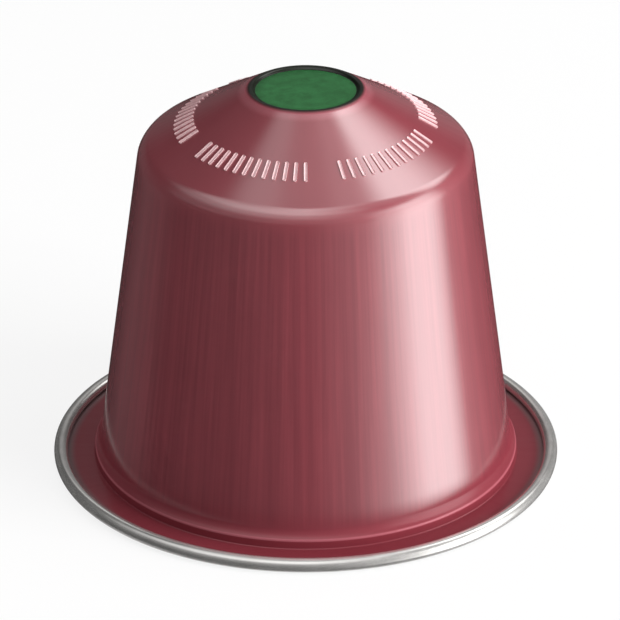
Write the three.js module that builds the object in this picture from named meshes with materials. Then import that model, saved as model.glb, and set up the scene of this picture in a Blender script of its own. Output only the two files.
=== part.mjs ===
// Coffee pod: a deep-drawn aluminium cup, filled, closed with a sealed foil lid and standing on it.
// Millimetres, +Z up, origin at the centre of the table face. One sealed solid of revolution.

import * as THREE from 'three';

// Cup wall
const wallFootDiameter = 30.54; // where the straight wall's line meets the flange
const shoulderDiameter = 23.92; // where the lines of wall and cone meet
const shoulderHeight = 24.74; // of that corner, above the table
const shoulderRounding = 1.6;
const wallFootRounding = 1.0;

// Cone and top
const coneSlope = 29.5; // degrees above level
const crestDiameter = 7.94; // highest ring of the rounded top edge
const crestRounding = 0.3;
const discDepth = 0.2; // of the pressed-in disc, below that ring
const discWallSlope = 52; // degrees, of the disc's short side wall
const discRounding = 0.15;

// Foot step, the drawn ring round the foot of the wall
const stepOverhang = 0.25; // past the wall's foot
const stepHeight = 0.67; // above the flange
const stepSlope = 45; // degrees below level, of its flared upper side
const stepEdgeRounding = 0.25;
const stepFootRounding = 0.1;

// Flange and rolled rim
const flangeWidth = 3.28; // from the wall's foot to the outside of the roll
const sheetThickness = 0.12;
const rollDiameter = 1.02; // outside of the roll's section
const rollGap = 0.16; // from the roll's free edge down to the flange

// Foil lid
const foilThickness = 0.04;
const foilMargin = 0.35; // flange left bare between foil and roll
const sealHeight = 0.2; // of the sealed ring of foil, above the table
const bulgeRun = 1.6; // width of the slope from the sealed ring down to the table face
const bulgeRounding = 2.0; // soft bends of the foil at both ends of that slope

// Facets
const turnSegments = 88;
const arcStep = 18; // degrees of bend for each facet of a round edge
const rollStep = 24; // the same on the roll

const lacquer = { color: '#8c4650', roughness: 0.34, metalness: 0.85 };

const degrees = Math.PI / 180;

// Heights of the two faces of the flange, and the radii that follow from the widths above
const flangeUnderside = sealHeight + foilThickness;
const flangeTop = flangeUnderside + sheetThickness;
const footRadius = wallFootDiameter / 2;
const flangeRadius = footRadius + flangeWidth;
const rollRadius = rollDiameter / 2;
const rollCentre = new THREE.Vector2(flangeRadius - rollRadius, rollRadius);

// A corner of the outline: radius and height, and how far it is rounded
function corner(r, z, round = 0) {
  return { at: new THREE.Vector2(r, z), round };
}

// Points along an arc about a centre, both ends included
function arcPoints(centre, radius, startAngle, endAngle, step) {
  const count = Math.max(1, Math.ceil(Math.abs(endAngle - startAngle) / (step * degrees)));
  const points = [];
  for (let i = 0; i <= count; i += 1) {
    const angle = startAngle + (endAngle - startAngle) * i / count;
    points.push(new THREE.Vector2(
      centre.x + radius * Math.cos(angle),
      centre.y + radius * Math.sin(angle),
    ));
  }
  return points;
}

// Half the angle between the two sides that meet at a corner
function halfCornerAngle(before, here, after) {
  const back = before.at.clone().sub(here.at).normalize();
  const ahead = after.at.clone().sub(here.at).normalize();
  return Math.acos(THREE.MathUtils.clamp(back.dot(ahead), -1, 1)) / 2;
}

// A corner as an arc that starts and ends a given distance from it
function cornerArc(before, here, after, cut) {
  const halfAngle = halfCornerAngle(before, here, after);
  const back = before.at.clone().sub(here.at).normalize();
  const ahead = after.at.clone().sub(here.at).normalize();
  const radius = cut * Math.tan(halfAngle);
  const middle = back.clone().add(ahead).normalize();
  const centre = here.at.clone().addScaledVector(middle, radius / Math.sin(halfAngle));
  const start = here.at.clone().addScaledVector(back, cut).sub(centre);
  const end = here.at.clone().addScaledVector(ahead, cut).sub(centre);
  const bend = Math.atan2(start.cross(end), start.dot(end));
  return arcPoints(centre, radius, start.angle(), start.angle() + bend, arcStep);
}

// An open run of corners, each rounded as asked; two rounds that don't fit on a side share it
function roundedRun(corners) {
  const wanted = corners.map((here, i) => {
    const sharp = here.round === 0 || i === 0 || i === corners.length - 1;
    return sharp ? 0 : here.round / Math.tan(halfCornerAngle(corners[i - 1], here, corners[i + 1]));
  });
  const share = corners.slice(1).map((here, i) => {
    const side = here.at.distanceTo(corners[i].at);
    return Math.min(1, side / Math.max(wanted[i] + wanted[i + 1], side));
  });
  return corners.flatMap((here, i) => {
    if (wanted[i] === 0) {
      return [here.at];
    }
    const cut = wanted[i] * Math.min(share[i - 1], share[i]);
    return cornerArc(corners[i - 1], here, corners[i + 1], cut);
  });
}

// Underside from the axis out: foil flat on the table, its bulge, the sealed ring, the foil's cut
// edge and the bare flange as far as the roll
function lidOutline(rollStart) {
  const foilRadius = flangeRadius - rollDiameter - foilMargin;
  return roundedRun([
    corner(0, 0),
    corner(footRadius - bulgeRun, 0, bulgeRounding),
    corner(footRadius, sealHeight, bulgeRounding),
    corner(foilRadius, sealHeight),
    corner(foilRadius, flangeUnderside),
    corner(rollStart.x, rollStart.y),
  ]);
}

// The sheet of the flange carried down, out and round into an open roll, and back along its inside
function rollOutline() {
  const insideRadius = rollRadius - sheetThickness;
  const outsideStart = -Math.PI - Math.asin((flangeUnderside - rollRadius) / rollRadius);
  const insideEnd = -Math.PI - Math.asin((flangeTop - rollRadius) / insideRadius);
  const freeEdge = Math.PI - Math.asin((flangeTop + rollGap - rollRadius) / rollRadius);
  return [
    ...arcPoints(rollCentre, rollRadius, outsideStart, freeEdge, rollStep),
    ...arcPoints(rollCentre, insideRadius, freeEdge, insideEnd, rollStep),
  ];
}

// Corner between cone and disc wall that leaves the top edge's round with its crest in place
function topPeak(shoulder) {
  const coneAngle = coneSlope * degrees;
  const sideAngle = discWallSlope * degrees;
  const crestRadius = crestDiameter / 2;
  const coneHeight = shoulder.y + Math.tan(coneAngle) * (shoulder.x - crestRadius);
  const centreHeight = coneHeight - crestRounding / Math.cos(coneAngle);
  const reach = crestRounding / Math.cos((coneAngle + sideAngle) / 2);
  const lean = (sideAngle - coneAngle) / 2;
  return {
    at: new THREE.Vector2(crestRadius - reach * Math.sin(lean), centreHeight + reach * Math.cos(lean)),
    crestHeight: centreHeight + crestRounding,
  };
}

// Outside of the cup from the roll in and up: flange, foot step, wall, shoulder and cone, then
// over the crest into the pressed-in disc
function cupOutline(rollEnd) {
  const shoulder = new THREE.Vector2(shoulderDiameter / 2, shoulderHeight);
  const wallLean = (footRadius - shoulder.x) / (shoulder.y - flangeTop);
  const flare = Math.tan(stepSlope * degrees);
  const flareWidth = (stepOverhang + wallLean * stepHeight) / (1 - wallLean * flare);
  const stepRadius = footRadius + stepOverhang;
  const stepTop = flangeTop + stepHeight;
  const peak = topPeak(shoulder);
  const discHeight = peak.crestHeight - discDepth;
  const discRadius = peak.at.x - (peak.at.y - discHeight) / Math.tan(discWallSlope * degrees);
  return roundedRun([
    corner(rollEnd.x, rollEnd.y),
    corner(stepRadius, flangeTop, stepFootRounding),
    corner(stepRadius, stepTop, stepEdgeRounding),
    corner(stepRadius - flareWidth, stepTop + flareWidth * flare, wallFootRounding),
    corner(shoulder.x, shoulder.y, shoulderRounding),
    corner(peak.at.x, peak.at.y, crestRounding),
    corner(discRadius, discHeight, discRounding),
    corner(0, discHeight),
  ]);
}

function sealedPod() {
  const roll = rollOutline();
  const lid = lidOutline(roll[0]);
  const cup = cupOutline(roll[roll.length - 1]);
  const outline = [...lid.slice(0, -1), ...roll, ...cup.slice(1)];
  const geometry = new THREE.LatheGeometry(outline, turnSegments);
  geometry.rotateX(Math.PI / 2);
  const pod = new THREE.Mesh(geometry, new THREE.MeshStandardMaterial(lacquer));
  pod.name = 'sealed_pod';
  return pod;
}

const coffeePod = new THREE.Group();
coffeePod.add(sealedPod());

export default coffeePod;
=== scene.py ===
import math

import bpy
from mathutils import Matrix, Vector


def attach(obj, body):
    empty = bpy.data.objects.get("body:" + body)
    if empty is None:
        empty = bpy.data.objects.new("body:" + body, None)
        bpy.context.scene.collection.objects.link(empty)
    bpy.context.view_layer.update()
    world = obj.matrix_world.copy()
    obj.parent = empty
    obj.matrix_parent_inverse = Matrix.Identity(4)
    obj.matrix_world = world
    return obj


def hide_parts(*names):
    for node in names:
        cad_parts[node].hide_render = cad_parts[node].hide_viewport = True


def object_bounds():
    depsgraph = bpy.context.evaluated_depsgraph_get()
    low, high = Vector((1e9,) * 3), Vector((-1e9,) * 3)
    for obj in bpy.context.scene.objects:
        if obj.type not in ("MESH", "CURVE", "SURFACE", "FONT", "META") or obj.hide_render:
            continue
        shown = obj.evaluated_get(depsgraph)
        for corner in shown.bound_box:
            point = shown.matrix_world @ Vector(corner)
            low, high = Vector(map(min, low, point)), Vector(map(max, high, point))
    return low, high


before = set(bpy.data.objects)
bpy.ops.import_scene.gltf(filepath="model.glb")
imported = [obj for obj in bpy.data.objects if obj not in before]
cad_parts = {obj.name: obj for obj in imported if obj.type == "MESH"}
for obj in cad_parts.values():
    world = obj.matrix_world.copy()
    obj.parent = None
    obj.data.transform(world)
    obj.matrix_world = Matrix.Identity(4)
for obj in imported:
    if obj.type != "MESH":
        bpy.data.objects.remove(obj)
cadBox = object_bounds()
mm = 0.001
flangeRadius = cadBox[1].x / mm  # over the rolled rim
podTop = cadBox[1].z / mm  # highest ring of the cup
print("frame loaded, pod", round(2 * flangeRadius, 2), "mm across and", round(podTop, 2), "mm high")


# Modelling

def deselectAll():
    bpy.ops.object.select_all(action="DESELECT")


def selectEdges(piece, test):
    # back in object mode, so that edges can be picked by their place
    bpy.ops.object.mode_set(mode="OBJECT")
    mesh = piece.data
    for part in (mesh.vertices, mesh.edges, mesh.polygons):
        part.foreach_set("select", [False] * len(part))
    for edge in mesh.edges:
        ends = [mesh.vertices[i].co for i in edge.vertices]
        if all(test(math.hypot(p.x, p.y) / mm, p.z / mm) for p in ends):
            edge.select = True
            for i in edge.vertices:
                mesh.vertices[i].select = True
    bpy.context.tool_settings.mesh_select_mode = (False, True, False)
    bpy.ops.object.mode_set(mode="EDIT")


def cornerTurn(before, here, after):
    arriving = math.atan2(here[1] - before[1], here[0] - before[0])
    leaving = math.atan2(after[1] - here[1], after[0] - here[0])
    return abs((leaving - arriving + math.pi) % (2 * math.pi) - math.pi)


def supportRings(start, end, startCut, endCut, spacing):
    # rings on a straight stretch, clear of the rounds at both its ends, that keep its shading straight
    length = math.dist(start[:2], end[:2])
    clear = 0.08
    first = startCut + clear
    last = length - endCut - clear
    if last - first < clear:
        return []
    count = max(1, round((last - first) / spacing))
    rings = []
    for i in range(count + 1):
        share = (first + (last - first) * i / count) / length
        rings.append((start[0] + (end[0] - start[0]) * share, start[1] + (end[1] - start[1]) * share))
    return rings


def turnedShell(name, corners, spacing, poleUp, segments=256):
    # corners are (radius, height, rounding) in mm, from the open end in to the axis
    turns = [0] + [cornerTurn(*corners[i - 1:i + 2]) for i in range(1, len(corners) - 1)] + [0]
    cuts = [c[2] * math.tan(t / 2) for c, t in zip(corners, turns)]
    rings = [corners[0][:2]]
    for i in range(len(corners) - 1):
        rings += supportRings(corners[i], corners[i + 1], cuts[i], cuts[i + 1], spacing)
        rings.append(corners[i + 1][:2])
    deselectAll()
    radius, height = rings[0]
    bpy.ops.mesh.primitive_circle_add(vertices=segments, radius=radius * mm, fill_type="NOTHING",
                                      location=(0, 0, height * mm))
    piece = bpy.context.object
    piece.name = name
    bpy.ops.object.transform_apply(location=True, rotation=True, scale=True)
    bpy.context.tool_settings.mesh_select_mode = (False, True, False)
    bpy.ops.object.mode_set(mode="EDIT")
    bpy.ops.mesh.select_all(action="SELECT")
    for nextRadius, nextHeight in rings[1:]:
        bpy.ops.mesh.extrude_region_move(
            TRANSFORM_OT_translate={"value": (0, 0, (nextHeight - height) * mm)})
        ratio = nextRadius / radius
        bpy.ops.transform.resize(value=(ratio, ratio, 1), center_override=(0, 0, nextHeight * mm))
        radius, height = nextRadius, nextHeight
    bpy.ops.mesh.extrude_region_move(TRANSFORM_OT_translate={"value": (0, 0, 0)})
    bpy.ops.mesh.merge(type="CENTER")  # closes the pole
    for corner, turn, cut in zip(corners, turns, cuts):
        if corner[2] > 0:
            selectEdges(piece, lambda r, z: abs(r - corner[0]) < 0.005 and abs(z - corner[1]) < 0.005)
            bpy.ops.mesh.bevel(offset_type="OFFSET", offset=cut * mm, affect="EDGES", profile=0.5,
                               segments=max(3, math.ceil(math.degrees(turn) / 6)), clamp_overlap=False)
    bpy.ops.mesh.select_all(action="SELECT")
    bpy.ops.mesh.remove_doubles(threshold=0.0005 * mm)
    bpy.ops.mesh.normals_make_consistent(inside=False)
    bpy.ops.object.mode_set(mode="OBJECT")
    pole = [p.normal.z for p in piece.data.polygons if math.hypot(p.center.x, p.center.y) < mm]
    if (sum(pole) > 0) != poleUp:
        bpy.ops.object.mode_set(mode="EDIT")
        bpy.ops.mesh.flip_normals()
        bpy.ops.object.mode_set(mode="OBJECT")
    return piece


def thicken(piece, thickness, innerMaterial=0):
    bpy.ops.object.modifier_add(type="SOLIDIFY")
    sheet = piece.modifiers[-1]
    sheet.thickness = thickness * mm
    sheet.offset = -1  # the outside stays where it is
    sheet.use_even_offset = True
    sheet.material_offset = innerMaterial
    sheet.material_offset_rim = innerMaterial
    bpy.ops.object.modifier_apply(modifier=sheet.name)


def setDown(piece, slotName, *materials):
    # smooth faces with crisp cut edges, the finish, and its place on the pod
    deselectAll()
    piece.select_set(True)
    bpy.context.view_layer.objects.active = piece
    bpy.ops.object.transform_apply(location=True, rotation=True, scale=True)
    bpy.ops.object.shade_smooth_by_angle(angle=math.radians(35))
    for i, material in enumerate(materials):
        if i < len(piece.data.materials):
            piece.data.materials[i] = material
        else:
            piece.data.materials.append(material)
    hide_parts("sealed_pod")
    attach(piece, "root")


# Materials

def linear(code):
    # sRGB hex to the linear colour that the shaders take
    channels = [int(code[i:i + 2], 16) / 255 for i in (1, 3, 5)]
    return [c / 12.92 if c <= 0.04045 else ((c + 0.055) / 1.055) ** 2.4 for c in channels] + [1]


def newMaterial(name):
    material = bpy.data.materials.new(name)
    material.use_nodes = True
    material.node_tree.nodes.clear()
    return material, material.node_tree


def addNode(tree, kind, settings=None, links=None):
    node = tree.nodes.new(kind)
    for name, value in (settings or {}).items():
        if isinstance(name, int) or name in node.inputs:
            node.inputs[name].default_value = value
        else:
            setattr(node, name, value)
    for name, socket in (links or {}).items():
        tree.links.new(socket, node.inputs[name])
    return node


def addSurface(tree, settings, links):
    shader = addNode(tree, "ShaderNodeBsdfPrincipled", settings, links)
    addNode(tree, "ShaderNodeOutputMaterial", links={"Surface": shader.outputs["BSDF"]})


def podPlace(tree):
    # distance from the pod's axis, height, and the direction from the axis as a point on a circle
    place = addNode(tree, "ShaderNodeTexCoord").outputs["Object"]
    level = addNode(tree, "ShaderNodeVectorMath", {"operation": "MULTIPLY", 1: (1, 1, 0)}, {
        0: place}).outputs[0]
    radius = addNode(tree, "ShaderNodeVectorMath", {"operation": "LENGTH"}, {0: level}).outputs["Value"]
    height = addNode(tree, "ShaderNodeSeparateXYZ", links={0: place}).outputs["Z"]
    circle = addNode(tree, "ShaderNodeVectorMath", {"operation": "NORMALIZE"}, {0: level}).outputs[0]
    return place, radius, height, circle


lacquerLook = {
    "colour": "#8f3943",
    "pale": "#983e49",
    "deep": "#762b36",  # in the drawing lines
    "paintedShade": "#5f222c",  # painted shade on the pressed foot, the flange and the disc's rim
    "seamAndRecessShade": "#12160d",  # red and green lacquer over each other, made darker still as painted shade on the recessed disc's wall
    "paintedHighlight": "#b3606b",  # painted highlight, on the crest's lit slope beside the seam and on the foot's rounded edge
    "trim": "#7b5f61",  # thin lacquer beside the roll
    # where each band starts and where it is full, in mm of height or of distance from the axis
    "bands": {
        "belowShoulder": ("height", 24.6, 22.8),
        "aboveFoot": ("height", 1.2, 2.4),
        "dullShadedFoot": ("height", 3.3, 1.5),
        "dullShadedRim": ("radius", 4.4, 4.25),
        "besideSeam": ("radius", 5.0, 4.5),
        "stepLow": ("height", 0.9, 1.0),
        "stepHigh": ("height", 1.15, 1.06),
        "besideRoll": ("radius", 16.85, 17.5),
        "pastSeam": ("radius", 4.03, 4.36),
    },
    "seamHighlightShare": 0.65,  # how strong the painted highlight is beside the seam
    "stepHighlightShare": 0.85,  # and on the foot's edge
    "paintedShadeShare": 0.3,
    "roughness": 0.5,
    "metalShare": 0.2,
    "underGloss": 0.15,  # the clear coat over it has most of the shine
    "gloss": 2.6,  # refractive index of the clear coat, high for a wet white highlight
    "glossRoughness": 0.16,
    "dullGloss": 0.18,  # share of the clear coat that is left where the lacquer is dull
    "streakWidth": 0.32,  # drawing lines, wider than the real ones so that they show
    "bandWidth": 2.2,  # broader bands of them
    "streakShare": 0.65,
    "streakDepth": 0.55,  # how far the lines go to the deep colour
    "cloudSize": 5,
    "peelSize": 0.9,
    "lineDepth": 0.008,
}


def wineLacquer():
    # Satin transparent lacquer on deep-drawn aluminium: metal colour that goes from wine to rose with
    # the light, with fine upright drawing lines on the wall and none on the cone and the flange.
    # Duller and with painted shade on the pressed foot, the flange and the disc's rim; painted highlight on
    # the foot's edge
    look = lacquerLook
    material, tree = newMaterial("satin_wine_lacquer_on_drawn_aluminium")
    place, radius, height, circle = podPlace(tree)
    part = {}
    for band, (measure, start, full) in look["bands"].items():
        part[band] = addNode(tree, "ShaderNodeMapRange", {
            "interpolation_type": "SMOOTHSTEP", "From Min": start * mm, "From Max": full * mm}, {
            "Value": height if measure == "height" else radius}).outputs["Result"]
    dullAndShaded = addNode(tree, "ShaderNodeMath", {"operation": "MAXIMUM"}, {
        0: part["dullShadedFoot"], 1: part["dullShadedRim"]}).outputs[0]
    wall = addNode(tree, "ShaderNodeMath", {"operation": "MULTIPLY"}, {
        0: part["belowShoulder"], 1: part["aboveFoot"]}).outputs[0]

    # drawing lines: noise that is stretched upright by giving height a small share
    around = addNode(tree, "ShaderNodeVectorMath", {"operation": "SCALE", "Scale": 14 * mm}, {0: circle})
    upright = addNode(tree, "ShaderNodeVectorMath", {"operation": "MULTIPLY", 1: (0, 0, 0.02)}, {0: place})
    drawn = addNode(tree, "ShaderNodeVectorMath", {"operation": "ADD"}, {
        0: around.outputs[0], 1: upright.outputs[0]}).outputs[0]
    streaks = addNode(tree, "ShaderNodeTexNoise", {
        "Scale": 1 / (look["streakWidth"] * mm), "Detail": 3, "Roughness": 0.6}, {"Vector": drawn})
    broad = addNode(tree, "ShaderNodeTexNoise", {
        "Scale": 1 / (look["bandWidth"] * mm), "Detail": 2}, {"Vector": drawn})
    fine = addNode(tree, "ShaderNodeMath", {"operation": "MULTIPLY", 1: look["streakShare"]}, {
        0: streaks.outputs[0]})
    lines = addNode(tree, "ShaderNodeMath", {
        "operation": "MULTIPLY_ADD", 1: 1 - look["streakShare"]}, {
        0: broad.outputs[0], 2: fine.outputs[0]}).outputs[0]
    wallLines = addNode(tree, "ShaderNodeMath", {"operation": "MULTIPLY"}, {0: lines, 1: wall})

    # colour, from the plain lacquer out to the seam and the roll
    clouds = addNode(tree, "ShaderNodeTexNoise", {
        "Scale": 1 / (look["cloudSize"] * mm), "Detail": 4}, {"Vector": place})
    tint = addNode(tree, "ShaderNodeMixRGB", {
        "Color1": linear(look["colour"]), "Color2": linear(look["pale"])}, {"Fac": clouds.outputs[0]})
    contrast = addNode(tree, "ShaderNodeMapRange", {
        "From Min": 0.38, "From Max": 0.62, "To Min": look["streakDepth"], "To Max": 0.0}, {
        "Value": lines})
    streaked = addNode(tree, "ShaderNodeMath", {"operation": "MULTIPLY"}, {
        0: contrast.outputs["Result"], 1: wall})
    lined = addNode(tree, "ShaderNodeMixRGB", {"Color2": linear(look["deep"])}, {
        "Fac": streaked.outputs[0], "Color1": tint.outputs[0]})
    # painted shade: the colour goes darker on the foot, the flange and the disc's rim, where shade falls
    paintedShadeMix = addNode(tree, "ShaderNodeMath", {"operation": "MULTIPLY", 1: look["paintedShadeShare"]}, {0: dullAndShaded})
    withPaintedShade = addNode(tree, "ShaderNodeMixRGB", {"Color2": linear(look["paintedShade"])}, {
        "Fac": paintedShadeMix.outputs[0], "Color1": lined.outputs[0]})
    # painted highlight: paler colour on the crest's slope beside the seam and along the foot's edge, where
    # light catches
    seamHighlight = addNode(tree, "ShaderNodeMath", {"operation": "MULTIPLY", 1: look["seamHighlightShare"]}, {
        0: part["besideSeam"]})
    onStep = addNode(tree, "ShaderNodeMath", {"operation": "MULTIPLY"}, {
        0: part["stepLow"], 1: part["stepHigh"]})
    stepHighlight = addNode(tree, "ShaderNodeMath", {"operation": "MULTIPLY", 1: look["stepHighlightShare"]}, {
        0: onStep.outputs[0]})
    paintedHighlightMask = addNode(tree, "ShaderNodeMath", {"operation": "MAXIMUM"}, {
        0: seamHighlight.outputs[0], 1: stepHighlight.outputs[0]})
    withPaintedHighlight = addNode(tree, "ShaderNodeMixRGB", {"Color2": linear(look["paintedHighlight"])}, {
        "Fac": paintedHighlightMask.outputs[0], "Color1": withPaintedShade.outputs[0]})
    faded = addNode(tree, "ShaderNodeMixRGB", {"Color2": linear(look["trim"])}, {
        "Fac": part["besideRoll"], "Color1": withPaintedHighlight.outputs[0]})
    # the seam's near-black is partly the two lacquers over each other and partly painted shade in the recess
    # round the disc
    colour = addNode(tree, "ShaderNodeMixRGB", {"Color1": linear(look["seamAndRecessShade"])}, {
        "Fac": part["pastSeam"], "Color2": faded.outputs[0]})

    # finish
    rough = addNode(tree, "ShaderNodeMapRange", {
        "From Min": 0.35, "From Max": 0.65, "To Min": look["roughness"] - 0.04,
        "To Max": look["roughness"] + 0.05}, {"Value": lines})
    peel = addNode(tree, "ShaderNodeTexNoise", {
        "Scale": 1 / (look["peelSize"] * mm), "Detail": 2}, {"Vector": place})
    relief = addNode(tree, "ShaderNodeMath", {"operation": "MULTIPLY_ADD", 1: 0.12}, {
        0: peel.outputs[0], 2: wallLines.outputs[0]})
    bump = addNode(tree, "ShaderNodeBump", {"Distance": look["lineDepth"] * mm, "Strength": 1.0}, {
        "Height": relief.outputs[0]})
    wet = addNode(tree, "ShaderNodeMapRange", {"To Min": 1.0, "To Max": look["dullGloss"]}, {"Value": dullAndShaded})
    addSurface(tree, {"Metallic": look["metalShare"], "Specular IOR Level": look["underGloss"],
                      "Coat IOR": look["gloss"], "Coat Roughness": look["glossRoughness"]}, {
        "Base Color": colour.outputs[0], "Roughness": rough.outputs["Result"],
        "Normal": bump.outputs[0], "Coat Weight": wet.outputs["Result"]})
    return material


greenLook = {
    "dark": "#246031",
    "light": "#2f733f",
    "mottleSize": 0.8,
    "mottleDepth": 0.012,
}


def greenLacquer():
    # Opaque green spot of lacquer rolled on to the pressed-in disc: satin, a little mottled
    look = greenLook
    material, tree = newMaterial("satin_green_roller_coated_lacquer")
    place = addNode(tree, "ShaderNodeTexCoord").outputs["Object"]
    mottle = addNode(tree, "ShaderNodeTexNoise", {
        "Scale": 1 / (look["mottleSize"] * mm), "Detail": 5, "Roughness": 0.65}, {"Vector": place})
    spots = addNode(tree, "ShaderNodeMapRange", {"From Min": 0.36, "From Max": 0.66}, {
        "Value": mottle.outputs[0]})
    colour = addNode(tree, "ShaderNodeMixRGB", {
        "Color1": linear(look["dark"]), "Color2": linear(look["light"])}, {
        "Fac": spots.outputs["Result"]})
    bump = addNode(tree, "ShaderNodeBump", {"Distance": look["mottleDepth"] * mm}, {
        "Height": mottle.outputs[0]})
    addSurface(tree, {"Metallic": 0.2, "Roughness": 0.46, "Specular IOR Level": 0.35}, {
        "Base Color": colour.outputs[0], "Normal": bump.outputs[0]})
    return material


bareLook = {
    "colour": "#d4d2cf",
    "bright": "#e9e7e4",
    "lineSpacing": 0.09,
    "lineDepth": 0.001,
    "lineDrift": 0.08,  # how far the lines wander round the curl
    "scuffSize": 1.4,
}


def bareAluminium():
    # Bare rolled aluminium sheet, curled: bright, with fine lines along the curl and faint scuffs
    look = bareLook
    material, tree = newMaterial("bare_bright_rolled_aluminium")
    place, radius, height, circle = podPlace(tree)
    section = addNode(tree, "ShaderNodeCombineXYZ", links={"X": radius, "Z": height})
    drift = addNode(tree, "ShaderNodeVectorMath", {
        "operation": "SCALE", "Scale": look["lineDrift"] * mm}, {0: circle})
    along = addNode(tree, "ShaderNodeVectorMath", {"operation": "ADD"}, {
        0: section.outputs[0], 1: drift.outputs[0]})
    lines = addNode(tree, "ShaderNodeTexNoise", {
        "Scale": 1 / (look["lineSpacing"] * mm), "Detail": 3}, {"Vector": along.outputs[0]})
    scuffs = addNode(tree, "ShaderNodeTexNoise", {
        "Scale": 1 / (look["scuffSize"] * mm), "Detail": 3}, {"Vector": place})
    colour = addNode(tree, "ShaderNodeMixRGB", {
        "Color1": linear(look["colour"]), "Color2": linear(look["bright"])}, {"Fac": scuffs.outputs[0]})
    rough = addNode(tree, "ShaderNodeMapRange", {
        "From Min": 0.3, "From Max": 0.7, "To Min": 0.19, "To Max": 0.26}, {"Value": scuffs.outputs[0]})
    bump = addNode(tree, "ShaderNodeBump", {"Distance": look["lineDepth"] * mm}, {
        "Height": lines.outputs[0]})
    addSurface(tree, {"Metallic": 0.8}, {
        "Base Color": colour.outputs[0], "Roughness": rough.outputs["Result"],
        "Normal": bump.outputs[0]})
    return material


foilLook = {
    "colour": "#cfccc7",
    "bright": "#e2dfda",
    "millLines": 0.12,
    "creaseSize": 3.5,
    "creaseDepth": 0.09,
}


def lidFoil():
    # Thin rolled aluminium foil, heat-sealed: satin, with the mill's straight lines and soft creases
    look = foilLook
    material, tree = newMaterial("satin_mill_finish_lidding_foil")
    place = addNode(tree, "ShaderNodeTexCoord").outputs["Object"]
    stretched = addNode(tree, "ShaderNodeMapping", {"Scale": (0.02, 1, 1)}, {"Vector": place})
    grain = addNode(tree, "ShaderNodeTexNoise", {
        "Scale": 1 / (look["millLines"] * mm), "Detail": 3}, {"Vector": stretched.outputs[0]})
    creases = addNode(tree, "ShaderNodeTexNoise", {
        "Scale": 1 / (look["creaseSize"] * mm), "Detail": 3, "Distortion": 0.6}, {"Vector": place})
    colour = addNode(tree, "ShaderNodeMixRGB", {
        "Color1": linear(look["colour"]), "Color2": linear(look["bright"])}, {"Fac": grain.outputs[0]})
    rough = addNode(tree, "ShaderNodeMapRange", {
        "From Min": 0.3, "From Max": 0.7, "To Min": 0.3, "To Max": 0.42}, {"Value": grain.outputs[0]})
    relief = addNode(tree, "ShaderNodeMath", {"operation": "MULTIPLY_ADD", 1: 0.06}, {
        0: grain.outputs[0], 2: creases.outputs[0]})
    bump = addNode(tree, "ShaderNodeBump", {"Distance": look["creaseDepth"] * mm}, {
        "Height": relief.outputs[0]})
    addSurface(tree, {"Metallic": 1.0}, {
        "Base Color": colour.outputs[0], "Roughness": rough.outputs["Result"],
        "Normal": bump.outputs[0]})
    return material


inkLook = {
    "colour": "#e2b6ba",
    "full": "#f2d8d9",  # where the ink covers best
    "coverSize": 0.3,
}


def paleInk():
    # Pad-printed pale pink ink: matt, slightly uneven in cover
    look = inkLook
    material, tree = newMaterial("matt_pale_pad_printed_ink")
    place = addNode(tree, "ShaderNodeTexCoord").outputs["Object"]
    cover = addNode(tree, "ShaderNodeTexNoise", {
        "Scale": 1 / (look["coverSize"] * mm), "Detail": 3}, {"Vector": place})
    colour = addNode(tree, "ShaderNodeMixRGB", {
        "Color1": linear(look["colour"]), "Color2": linear(look["full"])}, {"Fac": cover.outputs[0]})
    addSurface(tree, {"Roughness": 0.7, "Specular IOR Level": 0.15}, {"Base Color": colour.outputs[0]})
    return material


wine = wineLacquer()
green = greenLacquer()
bare = bareAluminium()
foil = lidFoil()
ink = paleInk()
print("materials made")


# Drawn cup

cup = {
    "footRadius": 15.27,  # where the wall's line meets the flange
    "flangeTop": 0.36,
    "sheet": 0.12,
    "stepOverhang": 0.25,
    "stepHeight": 0.67,
    "stepSlope": 45,  # degrees, as the other slopes
    "shoulderRadius": 11.96,
    "coneSlope": 29.5,
    "crestRadius": 3.97,
    "crestRounding": 0.3,
    "discDepth": 0.2,
    "discWallSlope": 52,
    "poleRadius": 0.25,
    "flangeEnd": 0.13,  # how far the flange runs into the roll
    "stepFootRounding": 0.1,
    "stepEdgeRounding": 0.25,
    "wallFootRounding": 1.0,
    "shoulderRounding": 1.6,
    "discRounding": 0.1,
}
coneAngle = math.radians(cup["coneSlope"])
discAngle = math.radians(cup["discWallSlope"])
crestCentre = podTop - cup["crestRounding"]
coneRise = math.tan(coneAngle) * (cup["shoulderRadius"] - cup["crestRadius"])
shoulderHeight = crestCentre + cup["crestRounding"] / math.cos(coneAngle) - coneRise
discHeight = podTop - cup["discDepth"]
rollRadius = 0.51  # of the rim's section, over the outside


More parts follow.
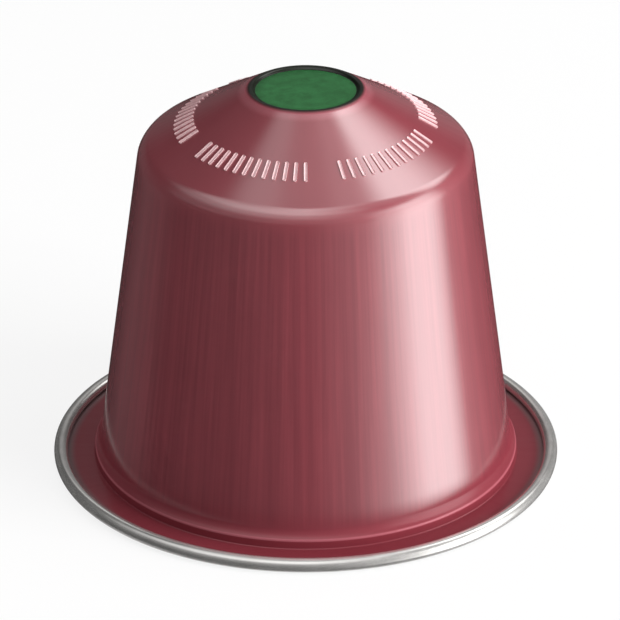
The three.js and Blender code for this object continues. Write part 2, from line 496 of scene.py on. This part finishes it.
def drawnCup():
    # one run of corners from the roll in and up to the pole, as the sheet was drawn
    wallLean = (cup["footRadius"] - cup["shoulderRadius"]) / (shoulderHeight - cup["flangeTop"])
    flare = math.tan(math.radians(cup["stepSlope"]))
    flareWidth = (cup["stepOverhang"] + wallLean * cup["stepHeight"]) / (1 - wallLean * flare)
    stepRadius = cup["footRadius"] + cup["stepOverhang"]
    stepTop = cup["flangeTop"] + cup["stepHeight"]
    reach = cup["crestRounding"] / math.cos((coneAngle + discAngle) / 2)
    lean = (discAngle - coneAngle) / 2
    peak = (cup["crestRadius"] - reach * math.sin(lean), crestCentre + reach * math.cos(lean))
    discRadius = peak[0] - (peak[1] - discHeight) / math.tan(discAngle)
    corners = [
        (flangeRadius - 2 * rollRadius + cup["flangeEnd"], cup["flangeTop"], 0),
        (stepRadius, cup["flangeTop"], cup["stepFootRounding"]),
        (stepRadius, stepTop, cup["stepEdgeRounding"]),
        (stepRadius - flareWidth, stepTop + flareWidth * flare, cup["wallFootRounding"]),
        (cup["shoulderRadius"], shoulderHeight, cup["shoulderRounding"]),
        (peak[0], peak[1], cup["crestRounding"]),
        (discRadius, discHeight, cup["discRounding"]),
        (cup["poleRadius"], discHeight, 0),
    ]
    piece = turnedShell("drawn_cup", corners, spacing=1.3, poleUp=True)
    for material in (wine, bare):
        piece.data.materials.append(material)
    thicken(piece, cup["sheet"], innerMaterial=1)
    setDown(piece, "cup_lacquer", wine, bare)
    return discRadius


discRadius = drawnCup()
print("cup drawn")


# Rolled rim, a torus opened along its inside and given the sheet's thickness

roll = {
    "freeEdge": 180,  # degrees round the section, from outside over the top
    "rootEdge": 210,  # inside the flange's sheet
    "sheet": 0.12,
    "sectionSegments": 48,
}


def rolledRim():
    deselectAll()
    centre = flangeRadius - rollRadius
    bpy.ops.mesh.primitive_torus_add(major_segments=256, minor_segments=roll["sectionSegments"],
                                     major_radius=centre * mm, minor_radius=rollRadius * mm,
                                     location=(0, 0, rollRadius * mm))
    piece = bpy.context.object
    piece.name = "rolled_rim"
    bpy.ops.object.transform_apply(location=True, rotation=True, scale=True)
    for face in piece.data.polygons:
        out = math.hypot(face.center.x, face.center.y) / mm - centre
        angle = math.degrees(math.atan2(face.center.z / mm - rollRadius, out)) % 360
        face.select = roll["freeEdge"] < angle < roll["rootEdge"]
    bpy.context.tool_settings.mesh_select_mode = (False, False, True)
    bpy.ops.object.mode_set(mode="EDIT")
    bpy.ops.mesh.delete(type="FACE")
    bpy.ops.object.mode_set(mode="OBJECT")
    thicken(piece, roll["sheet"])
    setDown(piece, "bare_aluminium", bare)


rolledRim()
print("rim rolled")


# Foil lid, sealed to the flange from below and lying on the table inside that ring

lid = {
    "thickness": 0.04,
    "margin": 0.35,
    "sealHeight": 0.2,
    "bulgeRun": 1.6,
    "bulgeRounding": 2.0,
}


def foilLid():
    edge = flangeRadius - 2 * rollRadius - lid["margin"]
    corners = [
        (edge, lid["sealHeight"], 0),
        (cup["footRadius"], lid["sealHeight"], lid["bulgeRounding"]),
        (cup["footRadius"] - lid["bulgeRun"], 0, lid["bulgeRounding"]),
        (cup["poleRadius"], 0, 0),
    ]
    piece = turnedShell("foil_lid", corners, spacing=1.5, poleUp=False)
    thicken(piece, lid["thickness"])
    setDown(piece, "lid_foil", foil)


foilLid()
print("lid sealed")


# Green spot of lacquer on the pressed-in disc

spot = {
    "edgeGap": 0.06,  # to the foot of the disc's side wall
    "thickness": 0.016,
    "edgeRound": 0.006,
    "insets": 4,
}


def lacquerSpot():
    deselectAll()
    radius = discRadius - spot["edgeGap"]
    bpy.ops.mesh.primitive_cylinder_add(vertices=192, radius=radius * mm, depth=spot["thickness"] * mm,
                                        location=(0, 0, discHeight * mm))
    piece = bpy.context.object
    piece.name = "green_spot"
    bpy.ops.object.transform_apply(location=True, rotation=True, scale=True)
    top = discHeight + spot["thickness"] / 2
    selectEdges(piece, lambda r, z: abs(z - top) < 0.001)
    bpy.ops.mesh.bevel(offset=spot["edgeRound"] * mm, segments=2, affect="EDGES")
    bpy.ops.object.mode_set(mode="OBJECT")
    for face in piece.data.polygons:
        face.select = abs(face.normal.z) > 0.9 and len(face.vertices) > 4
    bpy.context.tool_settings.mesh_select_mode = (False, False, True)
    bpy.ops.object.mode_set(mode="EDIT")
    for _ in range(spot["insets"]):
        bpy.ops.mesh.inset(thickness=radius / (spot["insets"] + 1) * mm)
    bpy.ops.mesh.poke()
    bpy.ops.object.mode_set(mode="OBJECT")
    setDown(piece, "disc_lacquer", green)


lacquerSpot()
print("green spot laid")


# Plain printed ring of fine marks round the cone

marks = {
    "ringRadius": 8.7,
    "length": 1.6,
    "width": 0.24,
    "proud": 0.005,
    "groups": 5,
    "perGroup": 13,
    "pitch": 0.7,  # from mark to mark in a group
    "endRound": 0.09,
}


def printedMarks():
    deselectAll()
    ringHeight = shoulderHeight + math.tan(coneAngle) * (cup["shoulderRadius"] - marks["ringRadius"])
    bpy.ops.mesh.primitive_cube_add(size=1, location=(0, -marks["ringRadius"] * mm, ringHeight * mm),
                                    rotation=(coneAngle, 0, 0))
    piece = bpy.context.object
    piece.name = "printed_marks"
    piece.scale = (marks["width"] * mm, marks["length"] * mm, 2 * marks["proud"] * mm)
    bpy.ops.object.transform_apply(location=True, rotation=True, scale=True)
    for edge in piece.data.edges:
        a, b = (piece.data.vertices[i].co for i in edge.vertices)
        edge.select = (a - b).length < 3 * marks["proud"] * mm
    bpy.context.tool_settings.mesh_select_mode = (False, True, False)
    bpy.ops.object.mode_set(mode="EDIT")
    bpy.ops.mesh.bevel(offset=marks["endRound"] * mm, segments=4, affect="EDGES")
    bpy.ops.mesh.select_all(action="SELECT")
    step = marks["pitch"] / marks["ringRadius"]
    bpy.ops.mesh.spin(steps=marks["perGroup"] - 1, dupli=True, angle=step * (marks["perGroup"] - 1),
                      center=(0, 0, 0), axis=(0, 0, 1))
    bpy.ops.mesh.select_all(action="SELECT")
    bpy.ops.mesh.spin(steps=marks["groups"], dupli=True, angle=2 * math.pi, center=(0, 0, 0), axis=(0, 0, 1))
    bpy.ops.mesh.select_all(action="SELECT")
    bpy.ops.mesh.remove_doubles(threshold=0.0005 * mm)
    bpy.ops.mesh.normals_make_consistent(inside=False)
    bpy.ops.object.mode_set(mode="OBJECT")
    setDown(piece, "print_ink", ink)


printedMarks()
print("marks printed")


# Stage: pale floor, white world, lamps for the shadow and a surround for the gloss to show

studio = {
    "floorColour": "#f6f6f6",
    "floorPale": "#f9f9f9",
    "floorGrain": 900,
    "floorDrop": 0.01,  # below the lid, so that the two never flicker
    "floorGlow": 0.82,  # share of the floor that the camera sees as plain white
    "worldLight": 0.42,
    "lampPower": 3.6,
    "lampSize": 0.34,
    "lampDistance": 0.5,
    # azimuth 0 is the camera's side and 90 the right, then elevation and share of the power
    "lamps": {
        "soft_lamp_right": (66, 20, 1.0),
        "soft_lamp_top": (90, 70, 0.15),
        "soft_lamp_left": (-125, 4, 0.17),
    },
}


def seenDirectly(tree):
    # 1 where the camera sees a thing itself, in a mirror or through glass
    ray = addNode(tree, "ShaderNodeLightPath")
    shown = addNode(tree, "ShaderNodeMath", {"operation": "MAXIMUM"}, {
        0: ray.outputs["Is Camera Ray"], 1: ray.outputs["Is Glossy Ray"]})
    return addNode(tree, "ShaderNodeMath", {"operation": "MAXIMUM"}, {
        0: shown.outputs[0], 1: ray.outputs["Is Transmission Ray"]}).outputs[0]


def paleFloor():
    deselectAll()
    bpy.ops.mesh.primitive_plane_add(size=4, location=(0, 0, -studio["floorDrop"] * mm))
    floor = bpy.context.object
    floor.name = "floor"
    bpy.ops.object.transform_apply(location=True, rotation=True, scale=True)
    material, tree = newMaterial("pale_matt_floor")
    grain = addNode(tree, "ShaderNodeTexNoise", {"Scale": studio["floorGrain"]})
    tone = addNode(tree, "ShaderNodeMixRGB", {
        "Color1": linear(studio["floorColour"]), "Color2": linear(studio["floorPale"])}, {
        "Fac": grain.outputs[0]})
    matt = addNode(tree, "ShaderNodeBsdfDiffuse", links={"Color": tone.outputs[0]})
    white = addNode(tree, "ShaderNodeEmission", {"Strength": 1.0})
    share = addNode(tree, "ShaderNodeMath", {"operation": "MULTIPLY", 1: studio["floorGlow"]}, {
        0: seenDirectly(tree)})
    both = addNode(tree, "ShaderNodeMixShader", links={
        "Fac": share.outputs[0], 1: matt.outputs[0], 2: white.outputs[0]})
    back = addNode(tree, "ShaderNodeNewGeometry").outputs["Backfacing"]
    seeThrough = addNode(tree, "ShaderNodeBsdfTransparent")  # from below the floor is not there
    twoSided = addNode(tree, "ShaderNodeMixShader", links={
        "Fac": back, 1: both.outputs[0], 2: seeThrough.outputs[0]})
    addNode(tree, "ShaderNodeOutputMaterial", links={"Surface": twoSided.outputs[0]})
    floor.data.materials.append(material)
    floor.visible_glossy = False  # the wall shows the surround, not the floor in front of it


def whiteWorld():
    world = bpy.data.worlds.new("white_studio")
    bpy.context.scene.world = world
    world.use_nodes = True
    tree = world.node_tree
    tree.nodes.clear()
    strength = addNode(tree, "ShaderNodeMapRange", {"To Min": studio["worldLight"], "To Max": 1.0}, {
        "Value": seenDirectly(tree)})
    sky = addNode(tree, "ShaderNodeBackground", {"Color": (1, 1, 1, 1)}, {
        "Strength": strength.outputs["Result"]})
    addNode(tree, "ShaderNodeOutputWorld", links={"Surface": sky.outputs[0]})
    world.cycles.sampling_method = "NONE"


def aim(place, target):
    # turn that points -Z from a place to a target
    return (target - place).to_track_quat("-Z", "Y").to_euler()


def direction(azimuth, elevation):
    a, e = math.radians(azimuth), math.radians(elevation)
    return Vector((math.sin(a) * math.cos(e), -math.cos(a) * math.cos(e), math.sin(e)))


podMiddle = Vector((0, 0, podTop / 2 * mm))


def softLamp(name, azimuth, elevation, share):
    place = podMiddle + direction(azimuth, elevation) * studio["lampDistance"]
    deselectAll()
    bpy.ops.object.light_add(type="AREA", location=place, rotation=aim(place, podMiddle))
    lamp = bpy.context.object
    lamp.name = name
    lamp.data.energy = studio["lampPower"] * share
    lamp.data.size = studio["lampSize"]
    lamp.visible_glossy = False


surround = {
    "radius": 0.5,
    "brightest": 4.0,  # of the numbers below
    "strength": 2.95,  # what that gives as light
    # bands of the room from the floor up: the elevations in degrees where a band starts and is full,
    # and its (azimuth, glow) round the pod, azimuth 0 at the camera and 90 at the right
    "bands": [
        (-90, -89, [(-180, 0.9), (-120, 0.6), (-60, 0.06), (60, 0.06), (120, 0.6), (180, 0.9)]),
        (-48, -33, [(-180, 0.03), (-150, 0.05), (-128, 0.12), (-108, 0.1), (-90, 0.03), (-40, 0.02),
            (5, 0.06), (27, 0.3), (46, 1.0), (60, 2.4), (70, 3.7), (88, 3.6), (95, 2.4), (103, 0.5),
            (127, 0.2), (148, 0.1), (165, 0.04), (180, 0.03)]),
        (-15, -5, [(-180, 0.1), (-165, 0.14), (-150, 0.12), (-110, 0.08), (-60, 0.08), (0, 0.12),
            (40, 0.5), (60, 2.4), (70, 3.6), (88, 3.6), (95, 2.4), (103, 0.5), (127, 0.2), (150, 0.2),
            (165, 0.3), (180, 0.15)]),
        (6, 15, [(-180, 0.25), (-162, 0.14), (-150, 0.05), (-110, 0.05), (-90, 0.25), (0, 0.3),
            (40, 0.5), (60, 2.0), (70, 3.2), (88, 3.2), (95, 2.2), (103, 0.5), (127, 0.2), (150, 0.06),
            (162, 0.3), (180, 0.3)]),
        (26, 40, [(-180, 0.9), (-160, 1.2), (-149, 0.08), (-120, 0.1), (-100, 0.6), (-60, 0.9),
            (0, 0.9), (60, 0.3), (95, 0.7), (112, 3.5), (129, 3.5), (140, 0.9), (153, 0.1), (162, 0.7),
            (180, 0.9)]),
        (44, 52, [(-180, 0.4), (-165, 0.4), (-150, 0.1), (-120, 0.1), (-100, 1.0), (-60, 1.6), (0, 1.9),
            (60, 0.5), (95, 0.7), (112, 3.5), (129, 3.5), (140, 0.9), (152, 0.2), (180, 0.4)]),
        (62, 72, [(-180, 0.6), (-90, 1.0), (0, 2.0), (60, 1.2), (120, 0.8), (180, 0.6)]),
        (78, 84, [(-180, 0.55), (180, 0.55)]),
    ],
}


def addRing(tree, around, stops):
    # glow by azimuth as a ramp; the first and last stop are the same direction
    ramp = addNode(tree, "ShaderNodeValToRGB", links={"Fac": around})
    elements = ramp.color_ramp.elements
    while len(elements) < len(stops):
        elements.new(0.5)
    for element, (azimuth, glow) in zip(elements, stops):
        element.position = azimuth / 360 + 0.5
        element.color = [glow / surround["brightest"]] * 3 + [1]
    return ramp.outputs["Color"]


def studioSurround():
    # the room as the pod's gloss shows it: a softbox at the right and dark paper at the left and back
    deselectAll()
    bpy.ops.mesh.primitive_uv_sphere_add(segments=64, ring_count=32, radius=surround["radius"])
    room = bpy.context.object
    room.name = "studio_surround"
    material, tree = newMaterial("lit_studio_paper")
    place = addNode(tree, "ShaderNodeTexCoord").outputs["Object"]
    level = addNode(tree, "ShaderNodeSeparateXYZ", links={
        0: addNode(tree, "ShaderNodeVectorMath", {"operation": "NORMALIZE"}, {0: place}).outputs[0]})
    front = addNode(tree, "ShaderNodeMath", {"operation": "MULTIPLY", 1: -1}, {0: level.outputs["Y"]})
    turn = addNode(tree, "ShaderNodeMath", {"operation": "ARCTAN2"}, {
        0: level.outputs["X"], 1: front.outputs[0]})
    around = addNode(tree, "ShaderNodeMath", {"operation": "MULTIPLY_ADD", 1: 0.5 / math.pi, 2: 0.5}, {
        0: turn.outputs[0]}).outputs[0]
    glow = None
    for start, full, stops in surround["bands"]:
        ring = addRing(tree, around, stops)
        if glow:
            share = addNode(tree, "ShaderNodeMapRange", {
                "interpolation_type": "SMOOTHSTEP", "From Min": math.sin(math.radians(start)),
                "From Max": math.sin(math.radians(full))}, {"Value": level.outputs["Z"]})
            ring = addNode(tree, "ShaderNodeMixRGB", links={
                "Fac": share.outputs[0], "Color1": glow, "Color2": ring}).outputs[0]
        glow = ring
    shine = addNode(tree, "ShaderNodeEmission", {"Strength": surround["strength"]}, {
        "Color": glow})
    addNode(tree, "ShaderNodeOutputMaterial", links={"Surface": shine.outputs[0]})
    material.cycles.emission_sampling = "NONE"
    room.data.materials.append(material)
    room.visible_camera = False
    room.visible_diffuse = False
    room.visible_shadow = False
    room.visible_transmission = False


paleFloor()
whiteWorld()
for lampName, lampPlace in studio["lamps"].items():
    softLamp(lampName, *lampPlace)
studioSurround()
print("studio set")


# Camera, fitted to the photo's outline of the pod

view = {
    "elevation": 26.44,
    "distance": 330.9,  # to a point on the pod's axis
    "aimHeight": 11.57,  # of that point
    "lens": 264.1,
    "sensor": 36,
    "shift": 0.0069,
}


def photoCamera():
    tilt = math.radians(view["elevation"])
    deselectAll()
    bpy.ops.object.camera_add(
        location=(0, -view["distance"] * math.cos(tilt) * mm,
                  (view["distance"] * math.sin(tilt) + view["aimHeight"]) * mm),
        rotation=(math.pi / 2 - tilt, 0, 0))
    camera = bpy.context.object
    camera.data.lens = view["lens"]
    camera.data.sensor_width = view["sensor"]
    camera.data.shift_x = view["shift"]
    camera.data.clip_start = 0.01
    bpy.context.scene.camera = camera


photoCamera()
bpy.context.scene.view_settings.view_transform = "Standard"
print("camera placed")
